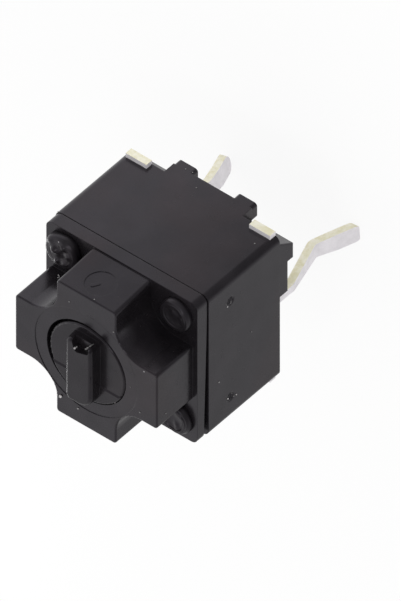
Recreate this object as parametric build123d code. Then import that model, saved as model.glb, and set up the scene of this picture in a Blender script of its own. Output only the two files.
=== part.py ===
from build123d import *
import math
import os

# All sizes are in millimetres. The origin lies on the circuit board face under the middle of the
# switch: Z points from the board to the plunger, Y to the side with the gate mark, X across the pins.

# Housing block
body_width = 6.32
body_depth = 6.17
body_corner = 0.26
housing_height = 3.59
housing_wall = 0.8

# Feet, centre pad and side bars under the housing
foot_height = 0.27
foot_width = 0.78
foot_length = 0.62
foot_corner = 0.12
foot_offset = 1.22
pad_thickness = 0.47
bar_inset = 0.04
bar_round = 0.06
# places along half the body depth: bar end, side foot start, side foot end, top of its slope
bar_shares = (0.11, 0.532, 0.735, 0.887)

# Seam between housing and cover
seam_gap = 0.03
seam_width = 0.22
wedge_gap = 0.17
wedge_width = 0.4
wedge_start_share = 0.72

# Dents in the two side faces of the housing
dent_radius = 0.2
dent_depth = 0.05
dent_height_share = 0.69
dent_offset_share = 0.69

# Cover plate and its cross-shaped boss
plate_thickness = 0.49
plate_step = 0.04
plate_corner = 0.26
boss_height = 1.79
boss_inset = 0.19
boss_foot = 0.13
boss_corner = 0.12
boss_edge_round = 0.06
boss_wall = 0.25
recess_rim = 0.05
recess_depth = 0.02
bore_length = 1.05
shoulder_width = 0.28
slot_end_wall = 0.55

# Staked pegs that hold the cover
stake_edge = 0.81
peg_radius = 0.42
peg_clearance = 0.04
head_lip = 0.16
head_height = 0.2
head_round = 0.1
head_room = 0.5
dimple_radius = 0.4
dimple_depth = 0.1

# Gate mark on the boss
gate_radius = 0.53
gate_depth = 0.02
gate_height = 1.06
vestige_length = 0.34
vestige_width = 0.14
vestige_offset = 0.12
vestige_turn = 56

# Plunger
barrel_clearance = 0.07
play_shares = (0.7, 0.1)
barrel_rise = 0.01
barrel_round = 0.08
flange_thickness = 0.6
flange_gap = 0.03
flange_clearance = 0.08
lug_width = 0.7
stem_share = 0.55
nub_share = 0.3
nub_height = 0.3
nub_gap = 0.02
step_height = 0.04
step_ramp = 0.07
step_place_share = 0.46
post_width = 1.1
post_draft = 0.03
post_height = 0.455
post_low_share = 0.975
post_high_base_share = 0.8
post_high_tip_share = 0.765
post_corner_share = 0.18
post_round_corner_share = 0.5
post_edge_round = 0.12
notch_width = 0.62
notch_length = 0.36
notch_depth = 0.25
notch_corner = 0.14
notch_offset = 0.05
notch_turn = 18

# Snap dome
dome_clearance = 0.15
dome_rise = 0.36
dome_sheet = 0.08

# Terminals: rail, contact arms and solder pin
sheet = 0.28
floor_cover = 0.12
rail_inset = 0.18
rail_width = 0.86
tab_length = 0.17
arm_width = 0.8
centre_contact_radius = 0.5
outer_contact_radius = 0.3
outer_contact_share = 0.7
pin_inset = 0.405
pin_ear = 0.7
pin_straight = 0.8
right_pin_kink_in = 0.65
left_pin_kink_in = 0.8
pin_kink_drop = 1.91
pin_tip_out = 0.6
pin_tip_drop = 1.6
pin_root_bend = 0.15
pin_kink_bend = 0.5
pin_width = 0.63
pin_root_width = 0.26
pin_root_y = 0.13
pin_lean_shares = (0.15, 0.8)
right_pin_lean = 0.12
left_pin_lean = 0.42
right_pin_turn = 5
left_pin_turn = -17
pin_tip_share = 0.85

# How far cutters reach beyond what they cut
cut_margin = 0.5

# Heights that follow from the sizes above
pad_underside = foot_height
body_underside = pad_underside + pad_thickness
rail_top = body_underside + sheet
floor_height = rail_top + floor_cover
seat_height = body_underside + housing_height
plate_top = seat_height + plate_thickness
boss_top = plate_top + boss_height
recess_floor = boss_top - recess_depth
shoulder_height = boss_top - bore_length
flange_top = shoulder_height - flange_gap
flange_bottom = flange_top - flange_thickness
barrel_top = boss_top + barrel_rise
post_top = barrel_top + post_height
dome_top = floor_height + dome_rise
nub_bottom = dome_top + nub_gap

# Widths and radii that follow from the sizes above
plate_width = body_width - 2 * plate_step
plate_depth = body_depth
stake_x = plate_width / 2 - stake_edge
stake_y = plate_depth / 2 - stake_edge
head_radius = peg_radius + head_lip
scallop_radius = head_radius + head_room
boss_half_x = plate_width / 2 - boss_inset
boss_half_y = plate_depth / 2 - boss_inset
boss_core_radius = math.hypot(stake_x, stake_y) - scallop_radius
recess_radius = boss_core_radius - recess_rim
chamber_radius = boss_core_radius - boss_wall
bore_radius = chamber_radius - shoulder_width
barrel_radius = bore_radius - barrel_clearance
flange_radius = chamber_radius - flange_clearance
slot_reach = boss_half_x - slot_end_wall
lug_reach = slot_reach - flange_clearance
cavity_radius = min(body_width, body_depth) / 2 - housing_wall
dome_radius = cavity_radius - dome_clearance
play_x, play_y = [share * barrel_clearance for share in play_shares]
pad_width = 2 * foot_offset + foot_width
rail_outer = body_width / 2 - rail_inset
rail_inner = rail_outer - rail_width
pin_x = body_width / 2 - pin_inset


def slab(sketch, low, high):
    """A flat outline raised from one height to another."""
    return extrude(Pos(0, 0, low) * sketch, high - low)


def stakes(item):
    """A copy of one item at each of the four stakes."""
    places = Locations((stake_x, stake_y), (-stake_x, stake_y), (-stake_x, -stake_y), (stake_x, -stake_y))
    return [place * item for place in places.locations]


def both_sides(item):
    """The item and its mirror image across the middle plane between the pins."""
    return [item, mirror(item, about=Plane.YZ)]


def make_terminal(contacts, kink_in, lean, turn):
    """One bent strip for the +X side: rail with tabs, leaning turned pin and the given contact arms."""
    half_length = body_depth / 2 + tab_length
    rail = slab(Pos((rail_inner + rail_outer) / 2, 0) * Rectangle(rail_width, 2 * half_length),
                body_underside, rail_top)
    kink_x = pin_x - kink_in
    straight_end = body_underside - pin_straight
    kink_z = straight_end - pin_kink_drop
    tip_z = kink_z - pin_tip_drop
    path = FilletPolyline(
        (pin_x - pin_ear, body_underside),
        (pin_x, body_underside),
        (pin_x, straight_end),
        (kink_x, kink_z),
        (kink_x + pin_tip_out, tip_z),
        radius=(pin_root_bend, pin_kink_bend, pin_kink_bend),
    )
    strip = make_face(path.wire().offset_2d(sheet, side=Side.LEFT))
    strip = extrude(Plane.XZ * strip, pin_width + cut_margin, both=True)
    # front outline of the pin: narrow and upright at the root, wider and set over at the rounded tip
    low_z = strip.bounding_box().min.Z
    length = body_underside - low_z
    lean_z = [body_underside - share * length for share in pin_lean_shares]
    root_low, root_high = pin_root_y - pin_root_width / 2, pin_root_y + pin_root_width / 2
    tip_low, tip_high = pin_root_y - lean - pin_width / 2, pin_root_y - lean + pin_width / 2
    tip_round = pin_tip_share * pin_width / 2
    outline = Polygon(
        (root_high, rail_top),
        (root_low, rail_top),
        (root_low, lean_z[0]),
        (tip_low, lean_z[1]),
        (tip_low, low_z),
        (tip_high, low_z),
        (tip_high, lean_z[1]),
        (root_high, lean_z[0]),
        align=None,
    )
    outline = fillet(outline.vertices().group_by(Axis.Y)[0], tip_round)
    outline = extrude(Plane.YZ * outline, rail_outer + body_width)
    root = Pos(pin_x, pin_root_y, 0)
    pin = root * Rot(0, 0, turn) * root.inverse() * (strip & outline)
    return rail + pin + contacts


def make_contact(arm, place, radius):
    """A flat contact arm with a raised round contact that reaches the cavity floor."""
    contact = slab(Pos(*place) * Circle(radius), body_underside, floor_height)
    return slab(arm, body_underside, rail_top) + contact


contact_ring = dome_radius - outer_contact_share * outer_contact_radius
outer_place = contact_ring / math.sqrt(2)
centre_arm = Pos(rail_inner / 2, 0) * Rectangle(rail_inner, arm_width) + Circle(arm_width / 2)
centre_contact = make_contact(centre_arm + Circle(centre_contact_radius), (0, 0), centre_contact_radius)
outer_contacts = []
for side in (1, -1):
    arm_start = outer_place - arm_width / 2
    arm_outline = Pos((arm_start + rail_inner) / 2, side * outer_place)
    arm_outline = arm_outline * Rectangle(rail_inner - arm_start, arm_width)
    outer_contacts.append(make_contact(arm_outline, (outer_place, side * outer_place), outer_contact_radius))

right_terminal = make_terminal(centre_contact, right_pin_kink_in, right_pin_lean, right_pin_turn)
left_terminal = make_terminal(outer_contacts, left_pin_kink_in, left_pin_lean, left_pin_turn)
left_terminal = mirror(left_terminal, about=Plane.YZ)


def make_housing():
    """The block with its cavity, feet, pad, side bars, pegs, staked heads and terminal pockets."""
    block = slab(RectangleRounded(body_width, body_depth, body_corner), body_underside, seat_height)
    block = block - slab(Circle(cavity_radius), floor_height, seat_height + cut_margin)

    # the outer band of the rim stands a little lower than the seat
    seam = Rectangle(body_width + cut_margin, body_depth + cut_margin)
    seam = seam - Rectangle(body_width - 2 * seam_width, body_depth - 2 * seam_width)
    block = block - slab(seam, seat_height - seam_gap, seat_height + cut_margin)

    # shallow round dents near the corners of the two side faces
    dent_z = body_underside + dent_height_share * housing_height
    dent_sphere = (dent_radius ** 2 + dent_depth ** 2) / (2 * dent_depth)
    dent_x = body_width / 2 - dent_depth + dent_sphere
    for side in (1, -1):
        dent_y = side * dent_offset_share * body_depth / 2
        block = block - both_sides(Pos(dent_x, dent_y, dent_z) * Sphere(dent_sphere))

    # centre pad with four feet
    block = block + slab(Rectangle(pad_width, body_depth), pad_underside, body_underside)
    foot_y = (body_depth - foot_length) / 2
    foot = slab(RectangleRounded(foot_width, foot_length, foot_corner), 0, body_underside)
    for side in (1, -1):
        block = block + both_sides(Pos(foot_offset, side * foot_y, 0) * foot)

    # side bars, each with a foot that slopes up to the housing
    bar_y = [share * body_depth / 2 for share in bar_shares]
    bar = Polygon(
        (bar_y[0], body_underside),
        (bar_y[0], pad_underside),
        (bar_y[1], pad_underside),
        (bar_y[1], 0),
        (bar_y[2], 0),
        (bar_y[3], body_underside),
        align=None,
    )
    bar_length = body_width / 2 - bar_inset - pad_width / 2
    bar = Pos(pad_width / 2, 0, 0) * extrude(Plane.YZ * bar, bar_length)
    side_edges = bar.faces().sort_by(Axis.X)[-1].edges()
    bar = fillet(side_edges - side_edges.group_by(Axis.Z)[-1], bar_round)
    block = block + both_sides(bar)

    # pegs through the cover, closed over by dimpled heads
    peg = slab(Circle(peg_radius), floor_height, plate_top)
    head = slab(Circle(head_radius), plate_top, plate_top + head_height)
    head = fillet(head.edges().group_by(Axis.Z)[-1], head_round)
    dimple_sphere = (dimple_radius ** 2 + dimple_depth ** 2) / (2 * dimple_depth)
    dimple = Pos(0, 0, plate_top + head_height - dimple_depth + dimple_sphere) * Sphere(dimple_sphere)
    block = block + stakes(peg + head - dimple)
    return block - left_terminal - right_terminal


def make_cover():
    """The plate with its cross-shaped boss, plunger hole, flange chamber and peg holes."""
    plate = slab(RectangleRounded(plate_width, plate_depth, plate_corner), seat_height, plate_top)
    arm_x = RectangleRounded(2 * boss_half_x, 2 * (stake_y - scallop_radius), boss_corner)
    arm_width = 2 * (stake_x - scallop_radius)
    arm_y = RectangleRounded(arm_width, 2 * boss_half_y, boss_corner)
    core = Rectangle(2 * stake_x, 2 * stake_y) - stakes(Circle(scallop_radius))
    boss = slab(arm_x + core, seat_height, boss_top)
    # the end with the gate mark slopes out towards the plate
    arm_foot = RectangleRounded(arm_width, 2 * boss_half_y + boss_foot, boss_corner)
    arm_foot = Pos(0, boss_foot / 2, plate_top) * arm_foot
    boss = boss + loft([arm_foot, Pos(0, 0, boss_top) * arm_y], ruled=True)
    boss = fillet(boss.edges().group_by(Axis.Z)[-1], boss_edge_round)
    cover = plate + boss

    # the edges over the two side faces rise off the housing towards one end
    rise_start = wedge_start_share * plate_depth / 2
    wedge = Polygon(
        (rise_start, seat_height),
        (-plate_depth / 2, seat_height + wedge_gap),
        (-plate_depth / 2, seat_height),
        align=None,
    )
    wedge = Pos(plate_width / 2 - wedge_width, 0, 0) * extrude(Plane.YZ * wedge, wedge_width + cut_margin)
    cover = cover - both_sides(wedge)

    # hole for the plunger, chamber and slots for its flange and lugs
    cover = cover - slab(Circle(recess_radius), recess_floor, boss_top + cut_margin)
    cover = cover - slab(Circle(bore_radius), seat_height - cut_margin, boss_top + cut_margin)
    slot = Rectangle(2 * slot_reach, lug_width + 2 * flange_clearance)
    cover = cover - slab(Circle(chamber_radius) + slot, seat_height - cut_margin, shoulder_height)
    hole = slab(Circle(peg_radius + peg_clearance), seat_height - cut_margin, plate_top)
    cover = cover - stakes(hole)

    # round gate mark with its small vestige, square to the sloping end
    gate_y = boss_half_y + boss_foot * (1 - gate_height / boss_height)
    gate_place = (0, gate_y, plate_top + gate_height)
    gate_plane = Plane(gate_place, x_dir=(1, 0, 0), z_dir=(0, boss_height, boss_foot))
    vestige = Rot(0, 0, vestige_turn) * SlotOverall(vestige_length, vestige_width)
    mark = Circle(gate_radius) - Pos(-vestige_offset, -vestige_offset) * vestige
    return cover - extrude(gate_plane * mark, -gate_depth)


def post_outline(width, low, length):
    """Outline of the post: three small round corners and a large one at the low end."""
    outline = Pos(0, low + length / 2) * Rectangle(width, length)
    corners = outline.vertices().sort_by(Axis.Y)
    small = corners[2:] + corners[:2].sort_by(Axis.X)[:1]
    outline = fillet(small, post_corner_share * width)
    large = outline.vertices().group_by(Axis.Y)[0].sort_by(Axis.X)[-1]
    return fillet(large, post_round_corner_share * width)


def make_plunger():
    """The blade-shaped post on its disc, the barrel, flange with lugs, stem and dome nub."""
    barrel = slab(Circle(barrel_radius), flange_bottom, barrel_top)
    barrel = fillet(barrel.edges().group_by(Axis.Z)[-1], barrel_round)
    # one side of the disc stands a step higher, with a short ramp up to it
    reach = barrel_radius + cut_margin
    step_y = -step_place_share * barrel_radius
    raised_side = Polygon(
        (-reach, flange_bottom),
        (step_y + step_ramp, flange_bottom),
        (step_y + step_ramp, barrel_top),
        (step_y, barrel_top + step_height),
        (-reach, barrel_top + step_height),
        align=None,
    )
    raised_side = extrude(Plane.YZ * raised_side, reach, both=True)
    barrel = barrel + (Pos(0, 0, step_height) * barrel & raised_side)

    # blade-shaped post with round corners, one sloping end and a notch where the gate was torn off
    low_y = -post_low_share * barrel_radius
    base_length = post_high_base_share * barrel_radius - low_y
    tip_length = post_high_tip_share * barrel_radius - low_y - post_draft
    tip_width = post_width - 2 * post_draft
    base = post_outline(post_width, low_y, base_length)
    tip = post_outline(tip_width, low_y + post_draft, tip_length)
    post = loft([Pos(0, 0, barrel_top) * base, Pos(0, 0, post_top) * tip], ruled=True)
    post = fillet(post.edges().group_by(Axis.Z)[-1], post_edge_round)
    notch = Rot(0, 0, notch_turn) * RectangleRounded(notch_width, 2 * notch_length, notch_corner)
    notch = Pos(notch_offset, low_y + post_draft + tip_length) * notch
    post = post - slab(notch, post_top - notch_depth, post_top + cut_margin)
    post = post + slab(base, flange_top, barrel_top)

    # flange and lugs that stay behind the shoulder of the cover
    lugs = Rectangle(2 * lug_reach, lug_width)
    flange = slab(Circle(flange_radius) + lugs, flange_bottom, flange_top)
    stem = slab(Circle(stem_share * barrel_radius), nub_bottom + nub_height, flange_bottom)
    nub = slab(Circle(nub_share * barrel_radius), nub_bottom, nub_bottom + nub_height)
    return Pos(play_x, -play_y, 0) * (barrel + post + flange + stem + nub)


def dome_arc(rim_height, top_height):
    """An arc from the dome's rim to its middle, part of a circle centred on the axis."""
    rise = top_height - rim_height
    radius = (dome_radius ** 2 + rise ** 2) / (2 * rise)
    half_angle = math.asin(dome_radius / radius) / 2
    middle = (radius * math.sin(half_angle), top_height - radius + radius * math.cos(half_angle))
    return ThreePointArc((dome_radius, rim_height), middle, (0, top_height))


def make_snap_dome():
    """A thin shallow dome that stands on the cavity floor."""
    under = dome_arc(floor_height, dome_top - dome_sheet)
    over = dome_arc(floor_height + dome_sheet, dome_top)
    edge = Line((dome_radius, floor_height), (dome_radius, floor_height + dome_sheet))
    middle = Line((0, dome_top - dome_sheet), (0, dome_top))
    section = make_face([under.edge(), edge.edge(), over.edge(), middle.edge()])
    return revolve(Plane.XZ * section, Axis.Z)


nodes = {
    "housing": make_housing(),
    "cover": make_cover(),
    "plunger": make_plunger(),
    "snap_dome": make_snap_dome(),
    "left_terminal": left_terminal,
    "right_terminal": right_terminal,
}

os.makedirs("parts", exist_ok=True)
for name, shape in nodes.items():
    shape.label = name
    export_step(shape, "parts/" + name + ".step")
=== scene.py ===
import math

import bpy
import numpy as np
from bpy.props import FloatProperty, FloatVectorProperty, IntProperty, PointerProperty
from mathutils import Matrix, Vector


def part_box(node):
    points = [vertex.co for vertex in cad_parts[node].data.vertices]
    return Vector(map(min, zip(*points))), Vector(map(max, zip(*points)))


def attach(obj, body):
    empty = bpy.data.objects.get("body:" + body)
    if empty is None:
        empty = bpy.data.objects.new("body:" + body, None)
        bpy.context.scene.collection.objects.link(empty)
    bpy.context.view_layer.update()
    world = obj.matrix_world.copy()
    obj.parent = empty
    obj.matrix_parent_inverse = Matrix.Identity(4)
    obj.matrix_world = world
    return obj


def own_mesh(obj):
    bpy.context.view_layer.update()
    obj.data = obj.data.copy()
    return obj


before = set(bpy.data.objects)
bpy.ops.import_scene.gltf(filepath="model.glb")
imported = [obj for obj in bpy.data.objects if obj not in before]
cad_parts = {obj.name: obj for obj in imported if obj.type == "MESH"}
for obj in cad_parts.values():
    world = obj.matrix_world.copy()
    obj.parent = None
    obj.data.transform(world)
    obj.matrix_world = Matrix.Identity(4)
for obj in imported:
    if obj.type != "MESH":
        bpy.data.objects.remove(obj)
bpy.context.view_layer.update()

bl_info = {
    "name": "Tactile Push Button Switch",
    "version": (1, 0, 0),
    "blender": (4, 5, 0),
    "location": "View3D > Sidebar > Switch",
    "description": "Finishes and surface detail of a small board-mounted push button switch",
    "category": "Object",
}

# A millimetre in metres, and the width and height of the picture
MM = 0.001
PICTURE_WIDTH = 401
PICTURE_HEIGHT = 601

# Places taken from the frame
BODY_LOW, BODY_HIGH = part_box("housing")
COVER_LOW, COVER_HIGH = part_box("cover")
PINS_LOW = min(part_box(name)[0].z for name in ("left_terminal", "right_terminal"))

# Stakes: side along X, end along Y, and the share of the usual size, height, hollow, lumps and ring ridges
STAKES = ((-1, 1, 1.08, 1.35, 0.6, 2.4, 0.3), (1, 1, 1.0, 1.0, 1.0, 0.7, 0.5),
          (1, -1, 1.0, 1.0, 1.0, 0.8, 1.6), (-1, -1, 1.0, 1.0, 1.0, 1.0, 1.0))

# Grains seen in the picture, listed one by one: across, down and diameter in picture elements, and the shade
# Most grains are dust. Rows 18 to 27, at the notch of the post, are painted highlights: pale grains put where
# the notch's edges catch the light
# Rows 5, 28 and 29 stand in for a burr beside the boss, and the last seven for pale bits in the torn dents
DUST_AND_GLINT_PIXELS = (
    (61.0, 395.7, 3.8, 0.9), (78.3, 408.2, 2.2, 0.5), (94.4, 299.7, 1.6, 0.4), (69.3, 301.7, 1.3, 0.4),
    (58.5, 275.6, 1.8, 0.7), (140.0, 412.2, 1.5, 0.4), (113.5, 331.8, 1.4, 0.4), (130.5, 386.7, 1.2, 0.3),
    (185.6, 169.2, 1.4, 0.4), (192.5, 172.6, 1.3, 0.4), (196.4, 188.0, 1.3, 0.4), (254.7, 243.8, 1.6, 0.4),
    (251.2, 331.7, 1.2, 0.3), (218.8, 382.1, 1.7, 0.5), (58.2, 212.2, 1.7, 0.5), (115.0, 402.5, 1.4, 0.4),
    (165.5, 413.5, 1.2, 0.4), (74.2, 348.0, 3.0, 0.6), (76.2, 346.9, 2.2, 0.5), (85.6, 349.6, 2.0, 0.3),
    (86.6, 348.9, 2.4, 0.35), (87.7, 348.1, 2.4, 0.35), (88.8, 347.3, 2.2, 0.3), (89.9, 346.6, 1.9, 0.24),
    (91.0, 345.9, 1.7, 0.18), (92.2, 345.1, 1.5, 0.13), (93.4, 344.4, 1.3, 0.1), (59.2, 277.4, 1.7, 0.6),
    (57.9, 277.9, 1.2, 0.5), (227.3, 306.6, 1.7, 0.8), (230.4, 302.8, 1.6, 0.5), (230.6, 301.3, 1.3, 0.45),
    (227.4, 398.4, 2.1, 0.9), (236.0, 394.4, 1.8, 0.7), (231.6, 392.8, 1.2, 0.4), (233.5, 396.0, 1.2, 0.35),
)

# Rings and points round each ring of the small meshes, and the seeds of their random draws
HEAD_MESH = (44, 112)
MARK_MESH = (8, 22)
GRAIN_MESH = (5, 9)
HEAD_SEED = 3
MARK_SEED = 5
DUST_SEED = 11

# Uneven outlines: the waves round them, the range of their phases, and the least and most sway of a wave
WAVES = np.arange(2, 6)[:, None, None]
PHASE_RANGE = 6.28
HEAD_SWAY = (0.006, 0.02)
MARK_SWAY = (0.05, 0.14)

# Stake heads: number of lumps, and their reach, width and height as shares. The ridged flank starts at a
# share of the radius and is full a little further out
LUMP_COUNT = 14
LUMP_REACH = 0.62
LUMP_WIDTHS = (0.1, 0.24)
LUMP_HEIGHTS = (-0.25, 1.0)
FLANK_START, FLANK_BLEND = 0.45, 0.2

# Torn marks: powers of the pits' heights and of the fall at the outline
PIT_POWER = 1.5
RIM_POWER = 8

# Grains of dust and of painted highlight: thickness of a grain against its width, the range of its rough
# radius, and the reach and the shades of the dust grains strewn at random
GRAIN_FLATNESS = 0.75
GRAIN_RADII = (0.7, 1.15)
DUST_REACH = 2.0
DUST_SHADES = (0.3, 0.6)

# Noises: cells a millimetre, detail and roughness
BLUSH = (0.4, 2.0)
CLOUD = (0.9, 4.0, 0.6)
PATCH = (3.5, 5.0, 0.65)
STAIN = (1.6, 5.0, 0.65)
TEAR = (4.5, 4.0, 0.6)
MOTTLE = (30.0, 2.0)
ROLLED = (1.0, 3.0)
WAVE_DETAIL, GRAIN_DETAIL = 1.0, 2.0

# The part of each noise over which a finish changes
BLUSH_RANGE = (0.5, 0.66)
CLOUD_RANGE = (0.3, 0.7)
PATCH_RANGE = (0.25, 0.75)
STAIN_RANGE = (0.4, 0.75)
TEAR_RANGE = (0.36, 0.74)
ROLLED_RANGE = (0.3, 0.7)
STEEL_RANGE = (0.35, 0.65)
MOTTLE_RANGE = (0.35, 0.65)

# How far a face of the strip turns to Y before it counts as a cut edge
CUT_RANGE = (0.55, 0.75)

# Shares of a colour, steps in roughness and the stretch of rolling lines
CLOUD_SHADES = (0.7, 1.45)
STAIN_SHADE = 0.82
STEEL_SHADE = 0.8
DUST_SHADE = 0.02
PATCH_STEPS = (-0.06, 0.08)
ROLLED_STEPS = (-0.07, 0.12)
STEEL_ROUGHNESS = (0.22, 0.38)
DUST_ROUGHNESS = (0.6, 0.9)
STRIP_LINES = (14.0, 40.0, 1.5)
STEEL_LINES = (2.0, 45.0, 2.0)

# Specks in the plastic: cells a millimetre, edge of a speck, and blend of the chance
SPECK_CELLS = 1.7
SPECK_EDGE = (0.03, 0.055)
SPECK_BLEND = 0.02

# Samples of the worn look of sharp edges
EDGE_SAMPLES = 6

# Light: the key lamp's direction, the fill lamp's along the camera's right, up and back, the bright side of
# the room along right and up, and where the room turns dark on the camera's side
KEY_DIRECTION = (-0.7, -0.7, -0.07)
FILL_SHARES = (-0.35, -0.45, 0.83)
BRIGHT_SHARES = (-0.3, 0.83)
DARK_RANGE = (0.2, 0.52)

# The camera sees from its distance divided by this to its distance times this
CLIP_SHARE = 100


def colour(name, about, default):
    """A colour property."""
    return FloatVectorProperty(name=name, description=about, subtype="COLOR", size=3, min=0, max=1,
                               default=default)


def length(name, about, default):
    """A length property in metres."""
    return FloatProperty(name=name, description=about, unit="LENGTH", default=default, precision=6)


def share(name, about, default):
    """A property from 0 to 1."""
    return FloatProperty(name=name, description=about, subtype="FACTOR", min=0, max=1, default=default)


def level(name, about, default):
    """A plain number property."""
    return FloatProperty(name=name, description=about, default=default)


def angle(name, about, degrees):
    """An angle property, given here in degrees."""
    return FloatProperty(name=name, description=about, subtype="ANGLE", default=math.radians(degrees))


class PlasticSettings(bpy.types.PropertyGroup):
    """Finish of the moulded pieces."""

    body_colour: colour("Body colour", "Colour of the housing and the cover", (0.0095, 0.0082, 0.0096))
    plunger_colour: colour("Plunger colour", "Colour of the plunger", (0.009, 0.0078, 0.009))
    gloss_tint: colour("Gloss tint", "Tint of the gloss of the moulded pieces", (0.93, 0.875, 1.0))
    warm_tint: colour("Warm tint", "Tint of the gloss in warmer patches", (1.0, 0.87, 0.97))
    speck_colour: colour("Speck colour", "Colour of the small dust specks", (0.3, 0.29, 0.3))
    body_roughness: share("Body roughness", "Roughness of the housing and the cover", 0.22)
    plunger_roughness: share("Plunger roughness", "Roughness of the plunger", 0.22)
    melted_roughness: share("Melted roughness", "Roughness of the stake heads and torn marks", 0.33)
    body_gloss: share("Body gloss", "Strength of the gloss of the housing and the cover", 0.5)
    plunger_gloss: share("Plunger gloss", "Strength of the gloss of the plunger", 0.36)
    grain: length("Grain", "Size of the moulded satin grain", 0.035 * MM)
    grain_depth: length("Grain depth", "Depth of the satin grain", 0.0008 * MM)
    wave: length("Wave", "Size of the shallow unevenness of moulded faces", 1.4 * MM)
    wave_depth: length("Wave depth", "Depth of the shallow unevenness", 0.012 * MM)
    edge_softness: length("Edge softness", "Radius to which sharp moulded edges look worn", 0.025 * MM)
    body_specks: share("Body specks", "Share of the cells with a speck on the housing and the cover", 0.08)
    few_specks: share("Few specks", "Share of the cells with a speck on the smaller pieces", 0.05)
    plunger_grain: share("Plunger grain", "Share of the grain's depth on the plunger", 0.3)
    melted_grain: share("Melted grain", "Share of the grain's depth on the stake heads", 0.5)
    plunger_softness: share("Plunger softness", "Share of the edge softness on the plunger", 0.8)


class StakeSettings(bpy.types.PropertyGroup):
    """Shape of the four staked heads that hold the cover."""

    edge: length("Edge", "Distance of each stake from the two edges of the cover", 0.81 * MM)
    plate: length("Plate", "Thickness of the cover plate", 0.49 * MM)
    radius: length("Radius", "Mean radius of a head", 0.62 * MM)
    height: length("Height", "Height of a head", 0.26 * MM)
    fullness: level("Fullness", "Power of the rounded section, 2 for an ellipse", 4.5)
    crater_radius: length("Crater radius", "Radius of the pressed hollow", 0.4 * MM)
    crater_depth: length("Crater depth", "Depth of the pressed hollow", 0.09 * MM)
    lump: length("Lump", "Height of the lumps left by the melting", 0.05 * MM)
    ridge: length("Ridge", "Height of the ring-shaped ridges", 0.012 * MM)
    ridge_pitch: length("Ridge pitch", "Distance between the ridges", 0.11 * MM)


class MarkSettings(bpy.types.PropertyGroup):
    """Torn marks that fill the dents in the two side faces of the housing."""

    height_share: share("Height share", "Place between the underside and the rim of the housing", 0.69)
    offset_share: share("Offset share", "Place between the middle and the end of the housing", 0.69)
    underside: length("Underside", "Height of the underside of the housing block", 0.74 * MM)
    block: length("Block", "Height of the housing block", 3.59 * MM)
    radius: length("Radius", "Mean radius of a mark", 0.2 * MM)
    depth: length("Depth", "Depth of the deepest pits below the face", 0.05 * MM)


class DustSettings(bpy.types.PropertyGroup):
    """Small pale grains on the moulded faces: dust, and painted highlights at the notch of the post."""

    colour: colour("Dust colour", "Colour of the palest grains", (0.62, 0.6, 0.6))
    count: IntProperty(name="Count", description="Number of grains on the other sides", default=26)
    small: length("Small", "Diameter of the smallest grain", 0.025 * MM)
    large: length("Large", "Diameter of the largest grain on the other sides", 0.06 * MM)
    sink: share("Sink", "Share of a grain's radius that lies in the face", 0.35)


class MetalSettings(bpy.types.PropertyGroup):
    """Finish of the terminals and the dome."""

    plating_colour: colour("Plating colour", "Colour of the plated strip", (0.92, 0.89, 0.92))
    cut_colour: colour("Cut colour", "Colour of the cut edges of the strip", (0.95, 0.92, 0.78))
    torn_colour: colour("Torn colour", "Colour of the torn patches on the cut edges", (0.79, 0.74, 0.47))
    steel_colour: colour("Steel colour", "Colour of the snap dome", (0.6, 0.59, 0.57))
    plating_roughness: share("Plating roughness", "Roughness of the plated strip", 0.42)
    plating_metal: share("Plating metal", "Share of bare metal in the look of the plating", 0.3)
    line_depth: length("Line depth", "Depth of the rolling lines in the strip", 0.002 * MM)
    dome_travel: length("Dome travel", "How far the top of the dome goes down with the plunger", 0.26 * MM)


class StageSettings(bpy.types.PropertyGroup):
    """Floor, light and camera."""

    view_azimuth: angle("View azimuth", "Direction of the camera round Z, from +X", 56.81)
    view_elevation: angle("View elevation", "Height of the camera above the horizon", 33.55)
    pixel: length("Pixel", "Size of one picture element on the object", MM / 31.408)
    aim_right: length("Aim right", "Picture centre right of the middle of the cover plate", 2.505 * MM)
    aim_up: length("Aim up", "Picture centre above the middle of the cover plate", 1.004 * MM)
    plate_height: length("Plate height", "Height of the face of the cover plate", 4.82 * MM)
    distance: length("Distance", "Distance of the camera", 0.12)
    floor_size: length("Floor size", "Side of the square floor", 4.0)
    floor_shade: share("Floor shade", "Lightness of the floor in soft light", 0.9)
    floor_white: share("Floor white", "Share of plain white that the camera sees in the floor", 0.88)
    room_level: level("Room level", "Strength of the soft light from all round", 0.95)
    dark_level: level("Dark level", "Share left in gloss of the room behind the camera", 0.34)
    low_level: level("Low level", "Strength of the low right side of the room in gloss", 0.46)
    high_level: level("High level", "Strength of the high left side of the room in gloss", 1.1)
    key_power: level("Key power", "Power of the low lamp behind the object, in watts", 0.0007)
    key_distance: length("Key distance", "Distance of the low lamp from the body", 0.03)
    key_width: length("Key width", "Width of the low lamp", 0.015)
    key_height: length("Key height", "Height of the low lamp", 0.005)
    fill_power: level("Fill power", "Power of the small lamp low in the picture, in watts", 0.004)
    fill_distance: length("Fill distance", "Distance of the small lamp from the body", 0.07)
    fill_size: length("Fill size", "Side of the small lamp", 0.012)


def settings(name):
    """One group of settings on the scene."""
    return getattr(bpy.context.scene, "switch_" + name)


def add_node(tree, kind, inputs=None, **options):
    """Adds a node, sets its options, and links or sets its inputs."""
    made = tree.nodes.new(kind)
    for key, value in options.items():
        setattr(made, key, value)
    for key, value in (inputs or {}).items():
        if isinstance(value, bpy.types.NodeSocket):
            tree.links.new(value, made.inputs[key])
        else:
            made.inputs[key].default_value = value
    return made


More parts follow.
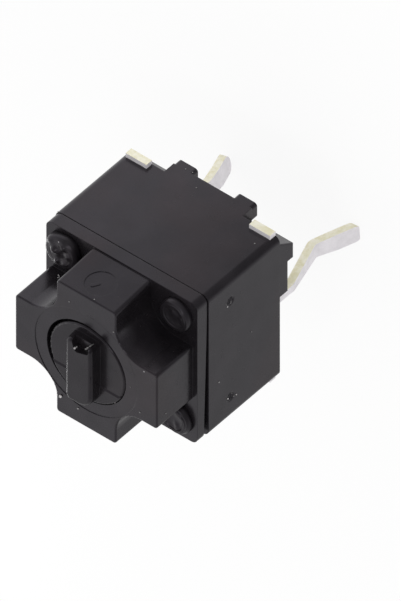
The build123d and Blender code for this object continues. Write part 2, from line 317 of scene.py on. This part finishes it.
def start_material(name):
    """A new node material with its tree, shader and coordinates in millimetres."""
    material = bpy.data.materials.new(name)
    material.use_nodes = True
    tree = material.node_tree
    tree.nodes.clear()
    shader = add_node(tree, "ShaderNodeBsdfPrincipled")
    add_node(tree, "ShaderNodeOutputMaterial", {"Surface": shader.outputs["BSDF"]})
    place = add_node(tree, "ShaderNodeTexCoord").outputs["Object"]
    scaled = add_node(tree, "ShaderNodeMapping", {"Vector": place, "Scale": (1 / MM, 1 / MM, 1 / MM)})
    return material, tree, shader, scaled.outputs["Vector"]


def noise(tree, vector, scale, detail=2.0, rough=0.5):
    """The value of a noise texture of that many cells a millimetre."""
    return add_node(tree, "ShaderNodeTexNoise", {"Vector": vector, "Scale": scale, "Detail": detail,
                                                 "Roughness": rough}).outputs["Fac"]


def span(tree, value, low, high, out_low=0.0, out_high=1.0):
    """The value moved from one range to another, and held within it."""
    return add_node(tree, "ShaderNodeMapRange", {"Value": value, "From Min": low, "From Max": high,
                                                 "To Min": out_low, "To Max": out_high}).outputs["Result"]


def shaded(tone, amount):
    """A colour made darker or paler by a share."""
    return tuple(amount * part for part in tone)


def mix_colour(tree, factor, first, second):
    """Two colours mixed by a factor."""
    made = add_node(tree, "ShaderNodeMix", data_type="RGBA")
    for socket, value in ((made.inputs[0], factor), (made.inputs[6], first), (made.inputs[7], second)):
        if isinstance(value, bpy.types.NodeSocket):
            tree.links.new(value, socket)
        else:
            socket.default_value = (*value, 1.0) if isinstance(value, tuple) else value
    return made.outputs[2]


def moulded_plastic(name, base, roughness, gloss, specks, grain_share=1.0, soft_share=1.0):
    """Black moulded plastic: satin grain, shallow waves, worn edges, cloudy gloss and a few dust specks."""
    plastic = settings("plastic")
    material, tree, shader, spot = start_material(name)
    shader.inputs["Specular IOR Level"].default_value = gloss
    blush = span(tree, noise(tree, spot, *BLUSH), *BLUSH_RANGE)
    tint = mix_colour(tree, blush, tuple(plastic.gloss_tint), tuple(plastic.warm_tint))
    tree.links.new(tint, shader.inputs["Specular Tint"])
    cloud = span(tree, noise(tree, spot, *CLOUD), *CLOUD_RANGE)
    deep, pale = (shaded(base, amount) for amount in CLOUD_SHADES)
    body = mix_colour(tree, cloud, deep, pale)

    # specks: a small ball in some of the cells
    cells = add_node(tree, "ShaderNodeTexVoronoi", {"Vector": spot, "Scale": SPECK_CELLS})
    ball = span(tree, cells.outputs["Distance"], *SPECK_EDGE, 1.0, 0.0)
    chance = add_node(tree, "ShaderNodeSeparateColor", {"Color": cells.outputs["Color"]}).outputs["Red"]
    chosen = span(tree, chance, specks, specks + SPECK_BLEND, 1.0, 0.0)
    speck = add_node(tree, "ShaderNodeMath", {0: ball, 1: chosen}, operation="MULTIPLY").outputs[0]
    tree.links.new(mix_colour(tree, speck, body, tuple(plastic.speck_colour)), shader.inputs["Base Color"])

    low, high = (roughness + step for step in PATCH_STEPS)
    patch = span(tree, noise(tree, spot, *PATCH), *PATCH_RANGE, low, high)
    tree.links.new(patch, shader.inputs["Roughness"])

    wave = noise(tree, spot, MM / plastic.wave, WAVE_DETAIL)
    grain = noise(tree, spot, MM / plastic.grain, GRAIN_DETAIL)
    soft = add_node(tree, "ShaderNodeBevel", {"Radius": soft_share * plastic.edge_softness},
                    samples=EDGE_SAMPLES)
    swell = add_node(tree, "ShaderNodeBump", {"Strength": 1.0, "Distance": plastic.wave_depth, "Height": wave,
                                              "Normal": soft.outputs["Normal"]})
    fine = add_node(tree, "ShaderNodeBump", {"Strength": 1.0, "Distance": grain_share * plastic.grain_depth,
                                             "Height": grain, "Normal": swell.outputs["Normal"]})
    tree.links.new(fine.outputs["Normal"], shader.inputs["Normal"])
    return material


def plated_strip():
    """Plated sheet: lavender-white stained faces, yellowish cut edges with torn patches, rolling lines."""
    metal = settings("metal")
    material, tree, shader, spot = start_material("plated_strip")
    shader.inputs["Metallic"].default_value = metal.plating_metal
    normal = add_node(tree, "ShaderNodeTexCoord").outputs["Normal"]
    facing = add_node(tree, "ShaderNodeSeparateXYZ", {"Vector": normal}).outputs["Y"]
    side = add_node(tree, "ShaderNodeMath", {0: facing}, operation="ABSOLUTE").outputs[0]
    cut = span(tree, side, *CUT_RANGE)
    plating = tuple(metal.plating_colour)
    stain = span(tree, noise(tree, spot, *STAIN), *STAIN_RANGE)
    faces = mix_colour(tree, stain, plating, shaded(plating, STAIN_SHADE))
    tear = span(tree, noise(tree, spot, *TEAR), *TEAR_RANGE)
    edges = mix_colour(tree, tear, tuple(metal.cut_colour), tuple(metal.torn_colour))
    tree.links.new(mix_colour(tree, cut, faces, edges), shader.inputs["Base Color"])

    lines = add_node(tree, "ShaderNodeMapping", {"Vector": spot, "Scale": STRIP_LINES}).outputs["Vector"]
    rolled = noise(tree, lines, *ROLLED)
    low, high = (metal.plating_roughness + step for step in ROLLED_STEPS)
    tree.links.new(span(tree, rolled, *ROLLED_RANGE, low, high), shader.inputs["Roughness"])
    ridges = add_node(tree, "ShaderNodeBump", {"Strength": 1.0, "Distance": metal.line_depth,
                                               "Height": rolled})
    tree.links.new(ridges.outputs["Normal"], shader.inputs["Normal"])
    return material


def spring_steel():
    """Bright rolled spring steel with fine lines."""
    material, tree, shader, spot = start_material("spring_steel")
    shader.inputs["Metallic"].default_value = 1.0
    lines = add_node(tree, "ShaderNodeMapping", {"Vector": spot, "Scale": STEEL_LINES}).outputs["Vector"]
    rolled = noise(tree, lines, *ROLLED)
    steel = tuple(settings("metal").steel_colour)
    tone = mix_colour(tree, span(tree, rolled, *STEEL_RANGE), shaded(steel, STEEL_SHADE), steel)
    tree.links.new(tone, shader.inputs["Base Color"])
    tree.links.new(span(tree, rolled, *ROLLED_RANGE, *STEEL_ROUGHNESS), shader.inputs["Roughness"])
    return material


def polar_faces(rings, sectors, copies=1):
    """Faces of closed caps: a fan at the middle, quads between rings, and one flat bottom.

    Point 0 of a cap is its middle. Ring r has its points at 1 + r * sectors onwards. Each cap's points follow
    those of the cap before it.
    """
    first = (1 + rings * sectors) * np.arange(copies)[:, None, None]
    turn = np.arange(sectors)
    following = np.roll(turn, -1)
    fan = first + np.stack([np.zeros_like(turn), 1 + turn, 1 + following], 1)
    start = 1 + sectors * np.arange(rings - 1)[:, None]
    after = start + sectors
    quads = np.stack([start + turn, after + turn, after + following, start + following], 2)
    quads = first + quads.reshape(-1, 4)
    bottom = first[:, 0] + 1 + sectors * (rings - 1) + turn[::-1]
    return fan.reshape(-1, 3).tolist() + quads.reshape(-1, 4).tolist() + bottom.tolist()


def sway(random, turn, lowest, highest):
    """The unevenness of an outline: a few waves with random heights and phases, added up."""
    heights = random.uniform(lowest, highest, WAVES.shape)
    phases = random.uniform(0, PHASE_RANGE, WAVES.shape)
    return (heights * np.cos(WAVES * turn + phases)).sum(0)


def new_piece(name, points, faces, material, body):
    """A smooth mesh piece at the origin that rides on a body."""
    mesh = bpy.data.meshes.new(name)
    mesh.from_pydata(points.tolist(), [], faces)
    mesh.shade_smooth()
    mesh.materials.append(material)
    piece = bpy.data.objects.new(name, mesh)
    bpy.context.scene.collection.objects.link(piece)
    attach(piece, body)
    return piece


def stake_head(stake, centre, seed, size, rise, hollow, lump, ridge):
    """Points of one staked head, as a closed cap on the cover plate.

    The section is a superellipse: radius R sin(a)^(2/n) and height H cos(a)^(2/n). R sways with a few
    waves round the head. A hollow falls off with the fourth power of the radius, ring ridges follow a cosine
    of the radius on the flank, and lumps are small bell shapes at random places.
    """
    random = np.random.default_rng(seed)
    rings, sectors = HEAD_MESH
    turn = np.linspace(0, 2 * np.pi, sectors, endpoint=False)[None, :]
    arc = np.linspace(0, np.pi / 2, rings + 1)[1:, None]
    mean = size * stake.radius
    reach = mean * (1 + sway(random, turn, *HEAD_SWAY))
    power = 2 / stake.fullness
    radius = reach * np.sin(arc) ** power
    height = rise * stake.height * np.cos(arc).clip(0) ** power + 0 * turn
    x, y = radius * np.cos(turn), radius * np.sin(turn)
    share_out = radius / mean

    height_share = height / (rise * stake.height)
    height = height - hollow * stake.crater_depth * np.exp(-(radius / stake.crater_radius) ** 4)
    flank = np.clip((share_out - FLANK_START) / FLANK_BLEND, 0, 1) * height_share
    height = height + ridge * stake.ridge * flank * np.cos(2 * np.pi * radius / stake.ridge_pitch)
    spots = random.uniform(-LUMP_REACH, LUMP_REACH, (LUMP_COUNT, 2)) * mean
    widths = random.uniform(*LUMP_WIDTHS, (LUMP_COUNT, 1, 1)) * mean
    sizes = random.uniform(*LUMP_HEIGHTS, (LUMP_COUNT, 1, 1)) * lump * stake.lump
    away = (x - spots[:, 0, None, None]) ** 2 + (y - spots[:, 1, None, None]) ** 2
    height = height + (sizes * np.exp(-away / widths ** 2)).sum(0) * height_share

    shell = np.stack([x, y, height], 2).reshape(-1, 3)
    middle = np.array([[0, 0, height[0].mean()]])
    return np.concatenate([middle, shell]) + np.array(centre)


def grain_points(random):
    """Points of a rough grain of radius 1: a ball whose radius sways at random from point to point."""
    rings, sectors = GRAIN_MESH
    turn = np.linspace(0, 2 * np.pi, sectors, endpoint=False)[None, :]
    fall = np.linspace(0, np.pi, rings + 2)[1:-1, None]
    radius = random.uniform(*GRAIN_RADII, (rings, sectors))
    ball = np.stack([radius * np.sin(fall) * np.cos(turn), radius * np.sin(fall) * np.sin(turn),
                     radius * np.cos(fall) + 0 * turn], 2)
    return np.concatenate([[[0, 0, 1]], ball.reshape(-1, 3)])


def first_hit(start, direction):
    """The first moulded node on a straight line: its name, the point and the face's direction."""
    found = None
    for name in ("housing", "cover", "plunger"):
        hit, point, normal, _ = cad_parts[name].ray_cast(start, direction)
        gone = (point - start).length
        if hit and (found is None or gone < found[0]):
            found = gone, name, point, normal
    return found[1:] if found else None


def torn_mark(mark, random):
    """Points of one torn mark, as a closed cap with height along X, centred on the origin.

    The outline sways with a few waves. The height falls from the face to the depth at random from point to
    point, mostly near the face, and drops to the full depth at the outline.
    """
    rings, sectors = MARK_MESH
    turn = np.linspace(0, 2 * np.pi, sectors, endpoint=False)[None, :]
    out = np.linspace(0, 1, rings + 1)[1:, None]
    radius = mark.radius * out * (1 + sway(random, turn, *MARK_SWAY))
    pits = random.uniform(0, 1, (rings, sectors)) ** PIT_POWER
    height = -mark.depth * np.maximum(pits, out ** RIM_POWER)
    shell = np.stack([height, radius * np.cos(turn), radius * np.sin(turn)], 2).reshape(-1, 3)
    return np.concatenate([[[height[0].mean(), 0, 0]], shell])


def dust_and_glint_grain():
    """Pale dull grains: dust, and the painted highlights at the notch of the post. Each grain carries its own
    shade, from dark to pale.
    """
    material, tree, shader, spot = start_material("dust_and_glint_grain")
    pale = tuple(settings("dust").colour)
    # each grain's shade; at the notch of the post it sets how bright the painted highlights are
    shade = add_node(tree, "ShaderNodeAttribute", attribute_name="shade").outputs["Fac"]
    tone = mix_colour(tree, shade, shaded(pale, DUST_SHADE), pale)
    tree.links.new(tone, shader.inputs["Base Color"])
    mottle = span(tree, noise(tree, spot, *MOTTLE), *MOTTLE_RANGE, *DUST_ROUGHNESS)
    tree.links.new(mottle, shader.inputs["Roughness"])
    return material


def dress(name, material):
    """Gives a node of the frame its finish."""
    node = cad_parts[name]
    node.data.materials.clear()
    node.data.materials.append(material)
    return node


class SWITCH_OT_moulded_body(bpy.types.Operator):
    """Finish the housing and the cover"""

    bl_idname = "switch.moulded_body"
    bl_label = "Moulded Body"

    def execute(self, context):
        plastic = settings("plastic")
        base = tuple(plastic.body_colour)
        rough, gloss = plastic.body_roughness, plastic.body_gloss
        for node in ("housing", "cover"):
            dress(node, moulded_plastic(node + "_plastic", base, rough, gloss, plastic.body_specks))
        return {"FINISHED"}


class SWITCH_OT_plunger(bpy.types.Operator):
    """Finish the plunger"""

    bl_idname = "switch.plunger"
    bl_label = "Plunger"

    def execute(self, context):
        plastic = settings("plastic")
        base = tuple(plastic.plunger_colour)
        rough, gloss = plastic.plunger_roughness, plastic.plunger_gloss
        dress("plunger", moulded_plastic("plunger_plastic", base, rough, gloss, plastic.few_specks,
                                         plastic.plunger_grain, plastic.plunger_softness))
        return {"FINISHED"}


class SWITCH_OT_stake_heads(bpy.types.Operator):
    """Make the four melted heads over the pegs"""

    bl_idname = "switch.stake_heads"
    bl_label = "Stake Heads"

    def execute(self, context):
        stake, plastic = settings("stake"), settings("plastic")
        base, rough = tuple(plastic.body_colour), plastic.melted_roughness
        finish = moulded_plastic("melted_plastic", base, rough, plastic.body_gloss, plastic.few_specks,
                                 plastic.melted_grain)
        across, along = COVER_HIGH.x - stake.edge, COVER_HIGH.y - stake.edge
        face = COVER_LOW.z + stake.plate
        faces = polar_faces(*HEAD_MESH)
        for index, (side, end, *shape) in enumerate(STAKES):
            centre = (side * across, end * along, face)
            points = stake_head(stake, centre, index + HEAD_SEED, *shape)
            new_piece(f"stake_head_{index + 1}", points, faces, finish, "base")
        return {"FINISHED"}


class SWITCH_OT_torn_marks(bpy.types.Operator):
    """Make the torn marks in the dents of the housing"""

    bl_idname = "switch.torn_marks"
    bl_label = "Torn Marks"

    def execute(self, context):
        mark, plastic = settings("mark"), settings("plastic")
        base, rough = tuple(plastic.body_colour), plastic.melted_roughness
        finish = moulded_plastic("torn_plastic", base, rough, plastic.body_gloss, plastic.few_specks)
        random = np.random.default_rng(MARK_SEED)
        faces = polar_faces(*MARK_MESH)
        high = mark.underside + mark.height_share * mark.block
        for index, (side, end, *_) in enumerate(STAKES):
            middle = np.array([BODY_HIGH.x, end * mark.offset_share * BODY_HIGH.y, high])
            points = (torn_mark(mark, random) + middle) * np.array([side, side, 1])
            new_piece(f"torn_mark_{index + 1}", points, faces, finish, "base")
        return {"FINISHED"}


class SWITCH_OT_dust_and_glints(bpy.types.Operator):
    """Lay small pale grains on the moulded faces: dust, and painted highlights at the notch of the post"""

    bl_idname = "switch.dust"
    bl_label = "Dust"

    def execute(self, context):
        dust, stage = settings("dust"), settings("stage")
        random = np.random.default_rng(DUST_SEED)
        right, up, back = view_axes(stage)
        centre = view_centre(stage)
        wanted = []
        # the listed grains, with the painted highlights at the notch of the post among them
        for across, down, wide, shade in DUST_AND_GLINT_PIXELS:
            start = centre + back * stage.distance
            start = start + right * (across - PICTURE_WIDTH / 2) * stage.pixel
            start = start - up * (down - PICTURE_HEIGHT / 2) * stage.pixel
            wanted.append((start, -back, wide * stage.pixel, shade))
        middle = (BODY_LOW + BODY_HIGH) / 2
        for _ in range(dust.count):
            away = Vector(random.normal(size=3)).normalized()
            away = away if away.dot(back) < 0 else -away
            aside = Vector(random.uniform(-DUST_REACH, DUST_REACH, 3)) * MM
            wide = random.uniform(dust.small, dust.large)
            shade = random.uniform(*DUST_SHADES)
            wanted.append((middle + aside + away * stage.distance, -away, wide, shade))

        count = len(grain_points(random))
        gathered = {"base": [], "button": []}
        shades = {"base": [], "button": []}
        for start, direction, wide, shade in wanted:
            found = first_hit(start, direction)
            points = grain_points(random) * np.array([1, 1, GRAIN_FLATNESS]) * wide / 2
            if found:
                name, point, normal = found
                turned = points @ np.array(normal.to_track_quat("Z", "Y").to_matrix()).T
                seat = point + normal * (1 - dust.sink) * GRAIN_FLATNESS * wide / 2
                body = "button" if name == "plunger" else "base"
                gathered[body].append(turned + np.array(seat))
                shades[body].append(np.full(count, shade))
        # one piece for each body holds its dust and its painted highlights
        finish = dust_and_glint_grain()
        for body, groups in gathered.items():
            if groups:
                faces = polar_faces(*GRAIN_MESH, len(groups))
                piece = new_piece(f"dust_and_glints_on_{body}", np.concatenate(groups), faces, finish, body)
                layer = piece.data.attributes.new("shade", "FLOAT", "POINT")
                layer.data.foreach_set("value", np.concatenate(shades[body]))
        return {"FINISHED"}


class SWITCH_OT_metal_parts(bpy.types.Operator):
    """Finish the terminals and the snap dome"""

    bl_idname = "switch.metal_parts"
    bl_label = "Metal Parts"

    def execute(self, context):
        strip = plated_strip()
        dress("left_terminal", strip)
        dress("right_terminal", strip)
        dome = dress("snap_dome", spring_steel())
        low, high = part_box("snap_dome")
        kept = 1 - settings("metal").dome_travel / (high.z - low.z)
        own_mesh(dome)
        return {"FINISHED"}


def view_centre(stage):
    """The point of the object in the middle of the picture."""
    right, up, _ = view_axes(stage)
    return Vector((0, 0, stage.plate_height)) + right * stage.aim_right + up * stage.aim_up


def view_axes(stage):
    """The camera's right, up and back directions. The picture stands upright along the body's Y axis."""
    flat = math.cos(stage.view_elevation)
    back = Vector((flat * math.cos(stage.view_azimuth), flat * math.sin(stage.view_azimuth),
                   math.sin(stage.view_elevation)))
    right = Vector((0, 1, 0)).cross(back).normalized()
    return right, back.cross(right), back


def room_shade(tree, towards, stage):
    """How bright the room is in a direction: pale above and on the left, dark on the camera's side."""
    right, up, back = view_axes(stage)
    bright = (right * BRIGHT_SHARES[0] + up * BRIGHT_SHARES[1]).normalized()
    facing = add_node(tree, "ShaderNodeVectorMath", {0: towards, 1: back}, operation="DOT_PRODUCT")
    rising = add_node(tree, "ShaderNodeVectorMath", {0: towards, 1: bright}, operation="DOT_PRODUCT")
    side = span(tree, facing.outputs["Value"], *DARK_RANGE, 1.0, stage.dark_level)
    height = span(tree, rising.outputs["Value"], -1.0, 1.0, stage.low_level, stage.high_level)
    return add_node(tree, "ShaderNodeMath", {0: side, 1: height}, operation="MULTIPLY").outputs[0]


def make_floor(stage):
    """A wide square floor at the pins' ends, white with a soft shadow to the camera and shaded in gloss."""
    half = stage.floor_size / 2
    corners = np.array([(-1, -1, 0), (1, -1, 0), (1, 1, 0), (-1, 1, 0)]) * half
    corners[:, 2] = PINS_LOW
    mesh = bpy.data.meshes.new("floor")
    mesh.from_pydata(corners.tolist(), [], [(0, 1, 2, 3)])
    floor = bpy.data.objects.new("floor", mesh)
    bpy.context.scene.collection.objects.link(floor)
    material = bpy.data.materials.new("pale_floor")
    material.use_nodes = True
    tree = material.node_tree
    tree.nodes.clear()
    rays = add_node(tree, "ShaderNodeLightPath").outputs
    place = add_node(tree, "ShaderNodeTexCoord").outputs["Object"]
    towards = add_node(tree, "ShaderNodeVectorMath", {0: place}, operation="NORMALIZE").outputs[0]
    shade = stage.floor_shade
    matt = add_node(tree, "ShaderNodeBsdfDiffuse", {"Color": (shade, shade, shade, 1)})
    white = add_node(tree, "ShaderNodeEmission", {"Color": (1, 1, 1, 1), "Strength": 1.0})
    gloss = add_node(tree, "ShaderNodeEmission", {"Color": (1, 1, 1, 1),
                                                  "Strength": room_shade(tree, towards, stage)})
    seen = add_node(tree, "ShaderNodeMath", {0: rays["Is Camera Ray"], 1: rays["Is Transmission Ray"]},
                    operation="MAXIMUM").outputs[0]
    amount = span(tree, seen, 0, 1, 0, stage.floor_white)
    plain = add_node(tree, "ShaderNodeMixShader", {0: amount, 1: matt.outputs[0], 2: white.outputs[0]})
    mixed = add_node(tree, "ShaderNodeMixShader", {0: rays["Is Glossy Ray"], 1: plain.outputs[0],
                                                   2: gloss.outputs[0]})
    add_node(tree, "ShaderNodeOutputMaterial", {"Surface": mixed.outputs[0]})
    mesh.materials.append(material)


def make_world(stage):
    """A white room for the camera, a shaded room for gloss, and soft even light for the rest."""
    world = bpy.data.worlds.new("studio")
    bpy.context.scene.world = world
    world.use_nodes = True
    tree = world.node_tree
    tree.nodes.clear()
    lit = room_shade(tree, add_node(tree, "ShaderNodeTexCoord").outputs["Generated"], stage)
    rays = add_node(tree, "ShaderNodeLightPath").outputs
    soft = add_node(tree, "ShaderNodeBackground", {"Color": (1, 1, 1, 1), "Strength": stage.room_level})
    gloss = add_node(tree, "ShaderNodeBackground", {"Color": (1, 1, 1, 1), "Strength": lit})
    white = add_node(tree, "ShaderNodeBackground", {"Color": (1, 1, 1, 1), "Strength": 1.0})
    room = add_node(tree, "ShaderNodeMixShader", {0: rays["Is Glossy Ray"], 1: soft.outputs[0],
                                                  2: gloss.outputs[0]})
    mixed = add_node(tree, "ShaderNodeMixShader", {0: rays["Is Camera Ray"], 1: room.outputs[0],
                                                   2: white.outputs[0]})
    add_node(tree, "ShaderNodeOutputWorld", {"Surface": mixed.outputs[0]})


def make_lamp(name, direction, distance, width, height, power):
    """A soft lamp that looks at the middle of the body from a direction."""
    lamp = bpy.data.lights.new(name, "AREA")
    lamp.shape = "RECTANGLE"
    lamp.size = width
    lamp.size_y = height
    lamp.energy = power
    holder = bpy.data.objects.new(name, lamp)
    bpy.context.scene.collection.objects.link(holder)
    middle = (BODY_LOW + BODY_HIGH) / 2
    holder.location = middle + direction.normalized() * distance
    holder.rotation_mode = "QUATERNION"
    holder.rotation_quaternion = direction.to_track_quat("Z", "Y")
    holder.visible_camera = False


class SWITCH_OT_stage(bpy.types.Operator):
    """Make the floor, the light and the camera"""

    bl_idname = "switch.stage"
    bl_label = "Stage"

    def execute(self, context):
        stage = settings("stage")
        right, up, back = view_axes(stage)
        make_floor(stage)
        make_world(stage)
        make_lamp("key_lamp", Vector(KEY_DIRECTION), stage.key_distance, stage.key_width, stage.key_height,
                  stage.key_power)
        fill = back * FILL_SHARES[2] + right * FILL_SHARES[0] + up * FILL_SHARES[1]
        make_lamp("fill_lamp", fill, stage.fill_distance, stage.fill_size, stage.fill_size, stage.fill_power)
        context.scene.view_settings.view_transform = "Standard"

        data = bpy.data.cameras.new("camera")
        data.type = "ORTHO"
        data.ortho_scale = PICTURE_HEIGHT * stage.pixel
        data.clip_start = stage.distance / CLIP_SHARE
        data.clip_end = stage.distance * CLIP_SHARE
        camera = bpy.data.objects.new("camera", data)
        context.scene.collection.objects.link(camera)
        aim = view_centre(stage)
        axes = Matrix((right, up, back)).transposed().to_4x4()
        camera.matrix_world = Matrix.Translation(aim + back * stage.distance) @ axes
        context.scene.camera = camera
        return {"FINISHED"}


class SWITCH_PT_sidebar(bpy.types.Panel):
    """Lists the steps that make the switch"""

    bl_idname = "SWITCH_PT_sidebar"
    bl_label = "Push Button Switch"
    bl_space_type = "VIEW_3D"
    bl_region_type = "UI"
    bl_category = "Switch"

    def draw(self, context):
        for step in STEPS:
            self.layout.operator(step.bl_idname)
        for word in GROUPS:
            box = self.layout.box()
            for name in GROUPS[word].__annotations__:
                box.prop(settings(word), name)


GROUPS = {
    "plastic": PlasticSettings,
    "stake": StakeSettings,
    "mark": MarkSettings,
    "dust": DustSettings,
    "metal": MetalSettings,
    "stage": StageSettings,
}
STEPS = (
    SWITCH_OT_moulded_body,
    SWITCH_OT_plunger,
    SWITCH_OT_stake_heads,
    SWITCH_OT_torn_marks,
    SWITCH_OT_metal_parts,
    SWITCH_OT_dust_and_glints,
    SWITCH_OT_stage,
)
CLASSES = (*GROUPS.values(), *STEPS, SWITCH_PT_sidebar)


def register():
    """Registers the classes and puts the settings on the scene."""
    for item in CLASSES:
        bpy.utils.register_class(item)
    for word, group in GROUPS.items():
        setattr(bpy.types.Scene, "switch_" + word, PointerProperty(type=group))


def unregister():
    """Takes the settings and the classes away again."""
    for word in GROUPS:
        delattr(bpy.types.Scene, "switch_" + word)
    for item in reversed(CLASSES):
        bpy.utils.unregister_class(item)


def main():
    """Makes every piece in order."""
    register()
    for step in STEPS:
        group, name = step.bl_idname.split(".")
        getattr(getattr(bpy.ops, group), name)()


if __name__ == "__main__":
    main()
